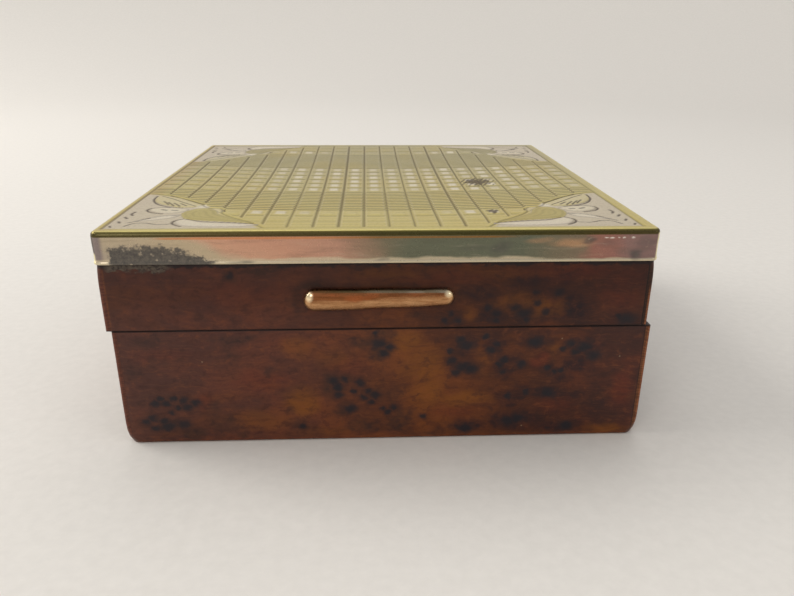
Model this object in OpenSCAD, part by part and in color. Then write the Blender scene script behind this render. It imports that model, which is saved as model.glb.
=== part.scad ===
// Square veneered table box with a hinged lid and a pressed metal cap.
// Millimetres, +Z up, front toward -Y, origin at the middle of the underside.

/* [Overall] */
// Width and depth of the metal cap, which is square
cap_w = 110; // [96:1:130]
// Height of the base, from the underside to the seam
base_h = 25.9; // [20:0.1:40]
// Height of the lid, from the seam to the top of the cap
lid_h = 20.5; // [18:0.1:30]
// How far the lid sits to one side of the base on its worn hinge
lid_shift = -1; // [-1.2:0.1:1.2]

/* [Carcass] */
// Thickness of the four boards of the base and of the lid
board_t = 6.9; // [6:0.1:8]
// Thickness of the bottom panel
floor_t = 4; // [3:0.1:6]
// Thickness of the lid's top panel at its edges
panel_t = 5; // [4:0.1:6]
// Thickness of the burr veneer on every outer side
veneer_t = 1.1; // [0.8:0.1:1.4]
// Radius of the vertical corners of the wood at the seam
corner_r = 0.6; // [0.4:0.1:1.2]
// Radius to which the worn corners of the base widen at its foot
foot_corner_r = 3.6; // [1.2:0.1:4.2]
// Height over which the corners widen toward the foot and toward the cap
corner_h = 6; // [3:0.5:8]
// Radius of the rubbed lower edge of the base
foot_r = 0.8; // [0.3:0.1:1.2]
// Radius of the eased edges on both sides of the seam
seam_r = 0.25; // [0.1:0.05:0.5]
// Radius of the wood's edge just below the cap
shoulder_r = 0.25; // [0.1:0.05:0.3]

/* [Lining] */
// Thickness of the cedar liners on the walls
liner_t = 2; // [1.2:0.1:3]
// Thickness of the cedar sheet on the floor
liner_floor_t = 1.5; // [1:0.1:3]
// Thickness of the cedar sheet under the lid panel
lid_lining_t = 1.2; // [0.8:0.1:2]
// How far the liners stop short of the seam
liner_drop = 0.8; // [0.4:0.1:2]

/* [Cap] */
// Thickness of the metal sheet
cap_t = 0.6; // [0.4:0.1:0.9]
// Height of the skirt that covers the top of the lid
skirt_h = 6.5; // [4:0.1:8]
// How far the skirt stands out from the wood below it
skirt_out = 0.3; // [0.1:0.05:0.4]
// Radius of the vertical corners of the cap
cap_corner_r = 1.6; // [1:0.1:3]
// Radius of the upper edge of the cap
cap_edge_r = 1; // [0.5:0.1:1.5]
// Depth of the shallow hollow in the top
dish_depth = 1.1; // [0.5:0.1:1.5]
// Width of the plain border round the hollow
dish_border = 5.4; // [2:0.1:6]
// Height of the turned rim along the lower edge of the skirt
rim_h = 0.5; // [0.4:0.1:1.5]
// How far that rim stands out from the skirt
rim_out = 0.1; // [0.1:0.05:0.4]

/* [Thumb piece] */
// Length of the half-round bar
thumb_l = 30; // [22:1:45]
// Height of the bar
thumb_h = 4.8; // [3:0.1:6]
// How far the bar stands out from the wood
thumb_out = 1.8; // [1:0.1:2.2]
// Height of the bar's middle above the seam
thumb_up = 6.4; // [4.5:0.1:9]
// Sideways place of the bar, from the middle of the lid
thumb_off = -0.3; // [-3:0.1:3]
// Radius of the two studs that hold the bar
stud_r = 1; // [0.6:0.1:1.3]
// Length of the studs
stud_l = 5; // [3:0.1:6]
// Distance of each stud from the end of the bar
stud_in = 6; // [4:0.1:9]

/* [Hinge] */
// Distance from each end of the hinge to the side of the box
hinge_in = 9.6; // [8.5:0.1:20]
// Number of knuckles, the odd ones on the base leaf
knuckles = 9; // [5:2:13]
// Outer radius of the knuckles
barrel_r = 1.7; // [1.4:0.1:1.8]
// Radius of the pin
pin_r = 0.8; // [0.5:0.1:1]
// Thickness of each leaf
leaf_t = 0.75; // [0.5:0.05:1]
// Distance of the pin's axis inside the back face
pin_in = 2.2; // [2:0.1:2.6]
// Angle at which the bevelled back edges stop the lid
open_deg = 95; // [88:1:110]
// Number of screws in each leaf
screws = 5; // [3:1:7]
// Radius of the screw heads
screw_head_r = 1.1; // [0.8:0.1:1.2]
// Height of the countersunk part of the heads
screw_head_h = 0.5; // [0.3:0.05:0.6]
// Radius of the screw shanks
screw_r = 0.6; // [0.4:0.1:0.7]
// Length of the screws
screw_l = 6; // [4:0.1:8]

/* [Hidden] */

$fn = 48;
// Rings that make the very flat curve of the hollow, and facets of its turn
dish_rings = 12;
dish_fn = 96;
// Sections that a widening corner is drawn through, and their thickness
corner_sections = 4;
section_t = 0.01;

// Clearances
cut = 1;              // overrun of every cutting shape
pin_clear = 0.05;     // pin in the knuckles, radial
knuckle_gap = 0.15;   // between neighbouring knuckles
barrel_clear = 0.3;   // knuckles in their round channel
stop_clear = 0.05;    // each bevel behind the plane through the axis
leaf_sink = 0.05;     // each leaf below the surface of the rim
leaf_clear = 0.1;     // leaf in its recess, all round
drill_clear = 0.05;   // screws and studs in their holes, radial
glue_gap = 0.05;      // between the cap and the wood under it
slot_w = 0.35;        // slot in the screw heads
slot_d = 0.25;

// Levels
seam_z = base_h;
top_z = base_h + lid_h;
skirt_z = top_z - skirt_h;
panel_top_z = top_z - cap_t;
panel_z = panel_top_z - glue_gap - panel_t;
lining_z = panel_z - lid_lining_t;
liner_floor_z = floor_t + liner_floor_t;
shoulder_z = skirt_z - glue_gap;

// Widths, each from the middle
skirt_half = cap_w / 2 - rim_out;
neck_half = skirt_half - cap_t;
wood_half = skirt_half - skirt_out;
board_half = wood_half - veneer_t;
liner_half = board_half - board_t;

// Hollow of the cap: part of a very large ball
dish_r = skirt_half - dish_border;
ball_r = (dish_r * dish_r + dish_depth * dish_depth) / (2 * dish_depth);

// Hinge
hinge_l = 2 * (wood_half - hinge_in);
axis_y = wood_half - pin_in;
channel_r = barrel_r + barrel_clear;
bevel_deg = open_deg / 2;
knuckle_p = hinge_l / knuckles;
knuckle_l = knuckle_p - knuckle_gap;
leaf_margin = 0.5;    // leaf's edge from the inner face of the board
leaf_y = liner_half + leaf_margin;
leaf_end_y = axis_y - channel_r;
screw_y = (leaf_y + leaf_end_y) / 2;
screw_p = hinge_l / screws;

// Thumb piece
thumb_r = thumb_h / 2;
thumb_x = lid_shift + thumb_off;
thumb_z = seam_z + thumb_up;
stud_root = thumb_out / 2;

// Colours
burr = "#5c3524";
carcass = "#a9794a";
cedar = "#b9774a";
brass = "#b08d45";
gilt = "#b39a58";
copper = "#b87d5e";

// Shapes that repeat

// Rectangle with rounded lower and upper corners, standing on y = 0
module round_profile(half, h, r_low, r_high) {
    difference() {
        translate([-half, 0]) square([2 * half, h]);
        for (s = [-1, 1]) scale([s, 1]) {
            translate([half - r_low, 0]) difference() {
                translate([0, -cut]) square([r_low + cut, r_low + cut]);
                translate([0, r_low]) circle(r = r_low);
            }
            translate([half - r_high, h - r_high]) difference() {
                square([r_high + cut, r_high + cut]);
                circle(r = r_high);
            }
        }
    }
}

// Square with rounded corners
module round_square(half, r) {
    difference() {
        square(2 * half, center = true);
        for (a = [0:90:270]) rotate(a) translate([half - r, half - r]) difference() {
            square(r + cut);
            circle(r = r);
        }
    }
}

// Square column of height h whose corners have the radius r and widen toward its two ends
module worn_column(half, h, r, r_low, r_high) {
    hull() for (i = [0:corner_sections]) {
        place = corner_h * i / corner_sections;
        share = pow(1 - i / corner_sections, 3);
        translate([0, 0, place]) linear_extrude(height = section_t)
            round_square(half, r + (r_low - r) * share);
        translate([0, 0, h - place - section_t]) linear_extrude(height = section_t)
            round_square(half, r + (r_high - r) * share);
    }
}

// Rounds the lower and upper edges of the square column that it is given
module soft_block(half, z0, z1, r_low, r_high) {
    h = z1 - z0;
    translate([0, 0, z0]) intersection() {
        children();
        rotate([90, 0, 0]) linear_extrude(height = 2 * (half + cut), center = true)
            round_profile(half, h, r_low, r_high);
        rotate([90, 0, 90]) linear_extrude(height = 2 * (half + cut), center = true)
            round_profile(half, h, r_low, r_high);
    }
}

// One mitred board of a square frame, on the front side
module frame_board(half, t, z0, z1) {
    translate([0, 0, z0]) linear_extrude(height = z1 - z0)
        polygon([[-half, -half], [half, -half], [half - t, t - half], [t - half, t - half]]);
}

// The same board turned to its side: 0 front, 1 right, 2 back, 3 left
module side_board(side, half, t, z0, z1) {
    rotate(side * 90) frame_board(half, t, z0, z1);
}

// Veneer sheet: those at the sides run past the edges of the front and back ones
module veneer_sheet(side, z0, z1) {
    span = side % 2 == 0 ? board_half : wood_half;
    rotate(side * 90) translate([-span, -wood_half, z0]) cube([2 * span, veneer_t, z1 - z0]);
}

module base_skin() {
    soft_block(wood_half, 0, seam_z, foot_r, seam_r)
        worn_column(wood_half, seam_z, corner_r, foot_corner_r, corner_r);
}

// The lid's wood steps in at its shoulder, and the cap's skirt goes over the neck above
module lid_skin() {
    translate([lid_shift, 0, 0]) {
        soft_block(wood_half, seam_z, shoulder_z, seam_r, shoulder_r)
            worn_column(wood_half, shoulder_z - seam_z, corner_r, corner_r, cap_corner_r);
        translate([0, 0, shoulder_z - cut]) linear_extrude(height = panel_top_z - shoulder_z + cut)
            round_square(neck_half, cap_corner_r - skirt_out);
    }
}

// Height of the hollow above its lowest point, at distance r from the middle
function dish_rise(r) = ball_r - sqrt(ball_r * ball_r - r * r);

// What lies above the hollow when it is lowered by drop
module dish(drop) {
    translate([0, 0, top_z - dish_depth - drop]) rotate_extrude($fn = dish_fn)
        polygon([for (i = [0:dish_rings]) [dish_r * i / dish_rings, dish_rise(dish_r * i / dish_rings)],
            [dish_r, dish_depth + drop + cut], [0, dish_depth + drop + cut]]);
}

// Wedge that leaves the bevelled edge of the base behind the hinge pin
module back_bevel() {
    out_y = wood_half + cut;
    low_z = seam_z - (stop_clear + (out_y - axis_y) * sin(bevel_deg)) / cos(bevel_deg);
    in_y = axis_y - stop_clear / sin(bevel_deg);
    rotate([90, 0, 90]) linear_extrude(height = 2 * (cap_w + cut), center = true)
        polygon([[in_y, seam_z], [out_y, low_z], [out_y, seam_z + cut], [in_y, seam_z + cut]]);
}

// Recess, round channel and screw holes for one leaf, cut into the base
module hinge_seat() {
    deep = leaf_t + leaf_sink;
    translate([-hinge_l / 2 - leaf_clear, leaf_y - leaf_clear, seam_z - deep])
        cube([hinge_l + 2 * leaf_clear, axis_y - leaf_y + leaf_clear, deep + cut]);
    translate([0, axis_y, seam_z]) rotate([0, 90, 0])
        cylinder(r = channel_r, h = hinge_l + 2 * barrel_clear, center = true);
    at_screws() translate([0, 0, -screw_l - drill_clear])
        cylinder(r = screw_r + drill_clear, h = screw_l + drill_clear);
}

// Turns a shape of the base over to the lid, about the plane of the seam
module lid_side() {
    translate([0, 0, 2 * seam_z]) mirror([0, 0, 1]) children();
}

module at_screws() {
    for (i = [0:screws - 1])
        translate([(i - (screws - 1) / 2) * screw_p, screw_y, seam_z - leaf_sink]) children();
}

// Leaf with its own knuckles, which are those from first on, every second one
module hinge_leaf(first) {
    difference() {
        union() {
            translate([-hinge_l / 2, leaf_y, seam_z - leaf_sink - leaf_t])
                cube([hinge_l, leaf_end_y - leaf_y, leaf_t]);
            for (i = [first:2:knuckles - 1])
                translate([(i - (knuckles - 1) / 2) * knuckle_p, axis_y, seam_z]) {
                    rotate([0, 90, 0]) cylinder(r = barrel_r, h = knuckle_l, center = true);
                    translate([-knuckle_l / 2, -channel_r, -leaf_sink - leaf_t])
                        cube([knuckle_l, channel_r, leaf_t]);
                }
        }
        translate([0, axis_y, seam_z]) rotate([0, 90, 0])
            cylinder(r = pin_r + pin_clear, h = hinge_l + 2 * cut, center = true);
        at_screws() {
            translate([0, 0, -screw_head_h]) cylinder(r1 = screw_r + drill_clear,
                r2 = screw_head_r + drill_clear, h = screw_head_h);
            translate([0, 0, -leaf_t - cut]) cylinder(r = screw_r + drill_clear, h = leaf_t + cut);
        }
    }
}

// Row of countersunk screws for one leaf
module hinge_screws() {
    at_screws() difference() {
        union() {
            translate([0, 0, -screw_head_h]) cylinder(r1 = screw_r, r2 = screw_head_r, h = screw_head_h);
            translate([0, 0, -screw_l]) cylinder(r = screw_r, h = screw_l - screw_head_h);
        }
        translate([-screw_head_r - cut, -slot_w / 2, -slot_d])
            cube([2 * (screw_head_r + cut), slot_w, slot_d + cut]);
    }
}

module at_studs() {
    for (s = [-1, 1]) translate([thumb_x + s * (thumb_l / 2 - stud_in), -wood_half, thumb_z])
        rotate([-90, 0, 0]) children();
}

// The base

module base_floor() {
    color(carcass) intersection() {
        translate([-board_half, -board_half, 0]) cube([2 * board_half, 2 * board_half, floor_t]);
        base_skin();
    }
}

module base_wall(side) {
    color(carcass) difference() {
        side_board(side, board_half, board_t, floor_t, seam_z);
        back_bevel();
        if (side == 2) hinge_seat();
    }
}

module base_front() {
    base_wall(0);
}

module base_right() {
    base_wall(1);
}

module base_back() {
    base_wall(2);
}

module base_left() {
    base_wall(3);
}

module base_veneer(side) {
    color(burr) difference() {
        intersection() {
            veneer_sheet(side, 0, seam_z);
            base_skin();
        }
        back_bevel();
        if (side == 2) hinge_seat();
    }
}

module base_veneer_front() {
    base_veneer(0);
}

module base_veneer_right() {
    base_veneer(1);
}

module base_veneer_back() {
    base_veneer(2);
}

module base_veneer_left() {
    base_veneer(3);
}

module base_liner_floor() {
    color(cedar) translate([-liner_half, -liner_half, floor_t])
        cube([2 * liner_half, 2 * liner_half, liner_floor_t]);
}

module base_liner(side) {
    color(cedar) side_board(side, liner_half, liner_t, liner_floor_z, seam_z - liner_drop);
}

module base_liner_front() {
    base_liner(0);
}

module base_liner_right() {
    base_liner(1);
}

module base_liner_back() {
    base_liner(2);
}

module base_liner_left() {
    base_liner(3);
}

// The hinge

module hinge_leaf_base() {
    color(brass) hinge_leaf(0);
}

module hinge_leaf_lid() {
    color(brass) lid_side() hinge_leaf(1);
}

module hinge_pin() {
    color(brass) translate([0, axis_y, seam_z]) rotate([0, 90, 0])
        cylinder(r = pin_r, h = hinge_l - knuckle_gap, center = true);
}

module hinge_screws_base() {
    color(brass) hinge_screws();
}

module hinge_screws_lid() {
    color(brass) lid_side() hinge_screws();
}

// The lid

module lid_panel() {
    color(carcass) translate([lid_shift, 0, 0]) difference() {
        translate([-board_half, -board_half, panel_z]) cube([2 * board_half, 2 * board_half, panel_t]);
        dish(cap_t + glue_gap);
    }
}

module lid_wall(side) {
    color(carcass) difference() {
        translate([lid_shift, 0, 0]) side_board(side, board_half, board_t, seam_z, panel_z);
        lid_side() back_bevel();
        if (side == 2) lid_side() hinge_seat();
        if (side == 0) at_studs() cylinder(r = stud_r + drill_clear, h = stud_l + drill_clear);
    }
}

module lid_front() {
    lid_wall(0);
}

module lid_right() {
    lid_wall(1);
}

module lid_back() {
    lid_wall(2);
}

module lid_left() {
    lid_wall(3);
}

module lid_veneer(side) {
    color(burr) difference() {
        intersection() {
            translate([lid_shift, 0, 0]) veneer_sheet(side, seam_z, panel_top_z);
            lid_skin();
        }
        lid_side() back_bevel();
        if (side == 2) lid_side() hinge_seat();
        if (side == 0) at_studs() translate([0, 0, -cut])
            cylinder(r = stud_r + drill_clear, h = stud_l + cut);
    }
}

module lid_veneer_front() {
    lid_veneer(0);
}

module lid_veneer_right() {
    lid_veneer(1);
}

module lid_veneer_back() {
    lid_veneer(2);
}

module lid_veneer_left() {
    lid_veneer(3);
}

module lid_lining() {
    color(cedar) translate([lid_shift - liner_half, -liner_half, lining_z])
        cube([2 * liner_half, 2 * liner_half, lid_lining_t]);
}

module lid_liner(side) {
    color(cedar) translate([lid_shift, 0, 0])
        side_board(side, liner_half, liner_t, seam_z + liner_drop, lining_z);
}

module lid_liner_front() {
    lid_liner(0);
}

module lid_liner_right() {
    lid_liner(1);
}

module lid_liner_back() {
    lid_liner(2);
}

module lid_liner_left() {
    lid_liner(3);
}

// Pressed cap: a shallow tray with a turned rim, hollowed on top and below
module lid_cap() {
    color(gilt) translate([lid_shift, 0, 0]) difference() {
        union() {
            soft_block(skirt_half, skirt_z, top_z, 0, cap_edge_r)
                linear_extrude(height = skirt_h) round_square(skirt_half, cap_corner_r);
            soft_block(skirt_half + rim_out, skirt_z, skirt_z + rim_h, rim_out, rim_out)
                linear_extrude(height = rim_h) round_square(skirt_half + rim_out, cap_corner_r + rim_out);
        }
        dish(0);
        difference() {
            translate([-neck_half, -neck_half, skirt_z - cut])
                cube([2 * neck_half, 2 * neck_half, skirt_h + cut - cap_t]);
            dish(cap_t);
        }
    }
}

// Half-round bar with ball ends and two studs
module thumb_piece() {
    color(copper) {
        intersection() {
            translate([thumb_x, thumb_r - thumb_out - wood_half, thumb_z]) {
                rotate([0, 90, 0]) cylinder(r = thumb_r, h = thumb_l - thumb_h, center = true);
                for (s = [-1, 1]) translate([s * (thumb_l - thumb_h) / 2, 0, 0]) sphere(r = thumb_r);
            }
            translate([thumb_x - thumb_l, -wood_half - thumb_h, thumb_z - thumb_h])
                cube([2 * thumb_l, thumb_h, 2 * thumb_h]);
        }
        at_studs() translate([0, 0, -stud_root]) cylinder(r = stud_r, h = stud_l + stud_root);
    }
}

base_floor();
base_front();
base_back();
base_left();
base_right();
base_veneer_front();
base_veneer_back();
base_veneer_left();
base_veneer_right();
base_liner_floor();
base_liner_front();
base_liner_back();
base_liner_left();
base_liner_right();
hinge_leaf_base();
hinge_pin();
hinge_screws_base();
lid_panel();
lid_front();
lid_back();
lid_left();
lid_right();
lid_veneer_front();
lid_veneer_back();
lid_veneer_left();
lid_veneer_right();
lid_lining();
lid_liner_front();
lid_liner_back();
lid_liner_left();
lid_liner_right();
hinge_leaf_lid();
hinge_screws_lid();
lid_cap();
thumb_piece();
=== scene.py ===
import math

import bpy
import numpy as np
from mathutils import Matrix, Vector


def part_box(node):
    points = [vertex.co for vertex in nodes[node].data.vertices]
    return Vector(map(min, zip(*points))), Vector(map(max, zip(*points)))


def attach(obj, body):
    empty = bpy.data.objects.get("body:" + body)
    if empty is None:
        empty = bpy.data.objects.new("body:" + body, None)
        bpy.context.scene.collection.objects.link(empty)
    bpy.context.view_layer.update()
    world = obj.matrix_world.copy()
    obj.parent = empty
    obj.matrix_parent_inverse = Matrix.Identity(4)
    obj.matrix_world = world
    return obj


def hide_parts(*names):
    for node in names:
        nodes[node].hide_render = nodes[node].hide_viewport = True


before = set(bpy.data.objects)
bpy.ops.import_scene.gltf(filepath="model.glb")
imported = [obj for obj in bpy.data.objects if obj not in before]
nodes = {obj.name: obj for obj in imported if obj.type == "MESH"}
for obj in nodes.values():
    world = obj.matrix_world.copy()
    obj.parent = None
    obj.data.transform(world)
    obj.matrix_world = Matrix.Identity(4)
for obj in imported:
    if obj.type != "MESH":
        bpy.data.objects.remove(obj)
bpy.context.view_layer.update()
scene = bpy.context.scene
MM = 0.001
WELD = 1e-6                    # metres within which a CAD node's vertices are joined
EASED = 40                     # degrees from which a CAD node's edge is bevelled
SHARP = 32                     # degrees from which an edge is shaded sharp: CAD nodes,
CAP_SHARP = 60                 # cap
BAR_SHARP = 50                 # and thumb-piece

# The wood, in millimetres from the middle of the base's underside
SEAM = 25.9                    # height of the joint between base and lid
WOOD = 54.6                    # half width of the base and the lid
REACH = 56                     # half length over which the figure's colours run
FLIP = 47                      # the back's figure is upside down within this height


# Node material helpers

class Mat:
    """A node material with short calls; positions are the object's own, in millimetres."""

    def __init__(self, name):
        self.mat = bpy.data.materials.new(name)
        self.mat.use_nodes = True
        self.tree = self.mat.node_tree
        self.tree.nodes.clear()
        out = self.tree.nodes.new("ShaderNodeOutputMaterial")
        self.bsdf = self.tree.nodes.new("ShaderNodeBsdfPrincipled")
        self.link(self.bsdf.outputs["BSDF"], out.inputs["Surface"])
        coord = self.tree.nodes.new("ShaderNodeTexCoord")
        self.pos = self.vmath("MULTIPLY", coord.outputs["Object"], (1000, 1000, 1000))
        self.x, self.y, self.z = self.split(self.pos)

    def link(self, a, b):
        self.tree.links.new(a, b)

    def put(self, socket, value):
        if isinstance(value, bpy.types.NodeSocket):
            self.link(value, socket)
        else:
            socket.default_value = value

    def split(self, vec):
        n = self.tree.nodes.new("ShaderNodeSeparateXYZ")
        self.link(vec, n.inputs[0])
        return n.outputs[0], n.outputs[1], n.outputs[2]

    def join(self, a, b, c):
        n = self.tree.nodes.new("ShaderNodeCombineXYZ")
        for s, v in zip(n.inputs, (a, b, c)):
            self.put(s, v)
        return n.outputs[0]

    def vmath(self, op, a, b=None):
        n = self.tree.nodes.new("ShaderNodeVectorMath")
        n.operation = op
        self.put(n.inputs[0], a)
        if b is not None:
            self.put(n.inputs[1], b)
        return n.outputs["Value" if op in ("DISTANCE", "LENGTH") else "Vector"]

    def math(self, op, a, b=None):
        n = self.tree.nodes.new("ShaderNodeMath")
        n.operation = op
        self.put(n.inputs[0], a)
        if b is not None:
            self.put(n.inputs[1], b)
        return n.outputs[0]

    def scaled(self, vec, scale, shift=(0, 0, 0)):
        return self.vmath("ADD", self.vmath("MULTIPLY", vec, scale), shift)

    def noise(self, vec, detail=3, rough=0.55, out="Fac"):
        n = self.tree.nodes.new("ShaderNodeTexNoise")
        self.put(n.inputs["Vector"], vec)
        n.inputs["Scale"].default_value = 1.0
        n.inputs["Detail"].default_value = detail
        n.inputs["Roughness"].default_value = rough
        return n.outputs[out]

    def cells(self, vec, smooth=0.35):
        """Distance to the nearest of scattered points, one for each unit cell."""
        n = self.tree.nodes.new("ShaderNodeTexVoronoi")
        n.feature = "SMOOTH_F1"
        self.put(n.inputs["Vector"], vec)
        n.inputs["Scale"].default_value = 1.0
        n.inputs["Smoothness"].default_value = smooth
        return n.outputs["Distance"]

    def warped(self, vec, scale, amount, detail=2.0):
        """vec moved about by a noise of that scale, by up to about half of amount."""
        n = self.noise(self.vmath("MULTIPLY", vec, scale), detail, 0.5, "Color")
        n = self.vmath("SUBTRACT", n, (0.5, 0.5, 0.5))
        return self.vmath("ADD", vec, self.vmath("MULTIPLY", n, amount))

    def ramp(self, fac, stops):
        n = self.tree.nodes.new("ShaderNodeValToRGB")
        r = n.color_ramp
        while len(r.elements) < len(stops):
            r.elements.new(0.5)
        for e, (place, value) in zip(r.elements, stops):
            e.position = place
        for e, (place, value) in zip(r.elements, stops):
            c = (value,) * 3 if isinstance(value, (int, float)) else value
            e.color = (*c, 1)
        self.put(n.inputs[0], fac)
        return n.outputs[0]

    def tones(self, fac, *stops):
        """A ramp of sRGB colours, each stop being (place, r, g, b)."""
        return self.ramp(fac, [(place, srgb(*colour)) for place, *colour in stops])

    def band(self, fac, low, high, a=0, b=1):
        """a where fac is low, b where it is high, and a soft step between."""
        n = self.tree.nodes.new("ShaderNodeMapRange")
        n.interpolation_type = "SMOOTHSTEP"
        if low > high:
            low, high, a, b = high, low, b, a
        self.put(n.inputs["Value"], fac)
        for k, v in (("From Min", low), ("From Max", high), ("To Min", a), ("To Max", b)):
            n.inputs[k].default_value = v
        return n.outputs["Result"]

    def mix(self, fac, a, b):
        n = self.tree.nodes.new("ShaderNodeMix")
        n.data_type = "RGBA"
        self.put(n.inputs["Factor"], fac)
        for key, v in (("A", a), ("B", b)):
            s = [s for s in n.inputs if s.name == key and s.type == "RGBA"][0]
            self.put(s, v if isinstance(v, bpy.types.NodeSocket) else (*v, 1))
        return [s for s in n.outputs if s.type == "RGBA"][0]

    def coat(self, share, colour):
        """Lay a colour, an sRGB triple or a socket, over that share of self.colour."""
        self.colour = self.mix(share, self.colour, srgb(*colour) if isinstance(colour, tuple) else colour)

    def fold(self, op, values):
        total = values[0]
        for v in values[1:]:
            total = self.math(op, total, v)
        return total

    def times(self, *values):
        return self.fold("MULTIPLY", values)

    def plus(self, *values):
        return self.fold("ADD", values)

    def most(self, *values):
        return self.fold("MAXIMUM", values)

    def least(self, *values):
        return self.fold("MINIMUM", values)

    def minus(self, a, b):
        return self.math("SUBTRACT", a, b)

    def abs(self, a):
        return self.math("ABSOLUTE", a)

    def attr(self, name):
        n = self.tree.nodes.new("ShaderNodeAttribute")
        n.attribute_name = name
        return n.outputs["Fac"]

    def bump(self, height, distance, strength):
        n = self.tree.nodes.new("ShaderNodeBump")
        self.put(n.inputs["Height"], height)
        n.inputs["Distance"].default_value = distance
        n.inputs["Strength"].default_value = strength
        return n.outputs["Normal"]

    def blobs(self, vec, places):
        """Soft spots: (u, v, half width, half height, strength) on the sheet's own plane."""
        out = []
        for u, v, su, sv, k in places:
            d = self.vmath("MULTIPLY", self.vmath("SUBTRACT", vec, (u, 0, v)), (1 / su, 0, 1 / sv))
            out.append(self.band(self.vmath("LENGTH", d), 1.25, 0.25, 0, k))
        return self.most(*out)

    def nearest(self, vec, places, su, sv):
        """Distance to the nearest of the places, 1 being the edge of an oval of those half sizes."""
        p = self.vmath("MULTIPLY", vec, (1 / su, 0, 1 / sv))
        return self.least(*(self.vmath("DISTANCE", p, (u / su, 0, v / sv)) for u, v in places))

    def finish(self, **sockets):
        names = {s.name.lower(): s for s in self.bsdf.inputs}
        for k, v in sockets.items():
            self.put(names[k.replace("_", " ").lower()], v if not isinstance(v, tuple) else (*v, 1))
        return self.mat


def srgb(r, g, b):
    def one(c):
        c /= 255
        return c / 12.92 if c <= 0.04045 else ((c + 0.055) / 1.055) ** 2.4
    return (one(r), one(g), one(b))


def along_front(m, u):
    """0 at the left end of the front, 1 at its right end."""
    return m.math("DIVIDE", m.plus(u, REACH), 2 * REACH)


def smooth_mesh(name, verts, faces, sharp=None):
    mesh = bpy.data.meshes.new(name)
    mesh.from_pydata(verts, [], faces)
    mesh.update()
    mesh.polygons.foreach_set("use_smooth", [True] * len(mesh.polygons))
    if sharp:
        mesh.set_sharp_from_angle(angle=math.radians(sharp))
    return mesh


def placed(name, data):
    o = bpy.data.objects.new(name, data)
    scene.collection.objects.link(o)
    return o


# Burr veneer. The figure is laid out on one sheet, u along it and v its height above the table,
# and the other three sheets are cut from the same burr, each the mirror image of its neighbour.

EYES_SMALL = [
    (-46.6, 10.6), (-43.9, 10.6), (-44.6, 7.4), (-43.1, 8.4), (-8.5, 14.5), (-6.7, 11.8), (-3.5, 11.7),
    (-4.6, 10.2), (-3, 9.1), (-0.6, 7.4), (-17.6, 3.6), (0.4, 6.6), (1.8, 7.7), (13.2, 20.6), (20.4, 23.8),
    (22.9, 22.2), (24.5, 15.6), (23.6, 17.5), (33.9, 16.4), (35.3, 15.5), (36.6, 15.9), (36.8, 20.9),
    (11.9, 27.4), (14.5, 27.5), (13.2, 29), (22.3, 27.4), (28.6, 27.4), (30.1, 33.4), (30.5, 31.1),
    (32.4, 29.2), (-30.2, 37.6), (25.9, 10), (29.6, 10.9), (7.9, 5.4), (47.6, 28), (-2.1, 24.9),
]
EYES = [
    (-47.8, 9.6), (-45.5, 9.5), (-41.9, 10.2), (-41.2, 8.6), (-39.5, 9.5), (-50.1, 5.3), (-48.7, 6.1),
    (-48.4, 3.6), (-46.5, 5.4), (-10.7, 14.2), (-9.9, 12.7), (-9.9, 10.9), (-5.3, 13.6), (-2.1, 10.7),
    (-0.4, 20.4), (0.8, 21.8), (13.8, 18.6), (15.4, 23.2), (14.6, 15.8), (21.8, 20.8), (24.6, 18.5),
    (28.2, 17.5), (38.2, 22), (39.4, 20), (26.2, 30.2), (34.8, 33.4), (20.6, 30.2), (22.3, 28.8),
]
EYES_WIDE = [
    (-45.6, 3.9), (-42.4, 4.5), (-7.6, 7.5), (-1.4, 22.6), (15.9, 17.1), (17.7, 16.4), (16.6, 21.9),
    (41.1, 21.2), (43.2, 19.3), (27.9, 28.9), (30.9, 22.5), (34.4, 10.6), (26.2, 3.8), (17, 2.4),
    (38.9, 2.5), (49.2, 27.3), (28.4, 4.6),
]
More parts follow.
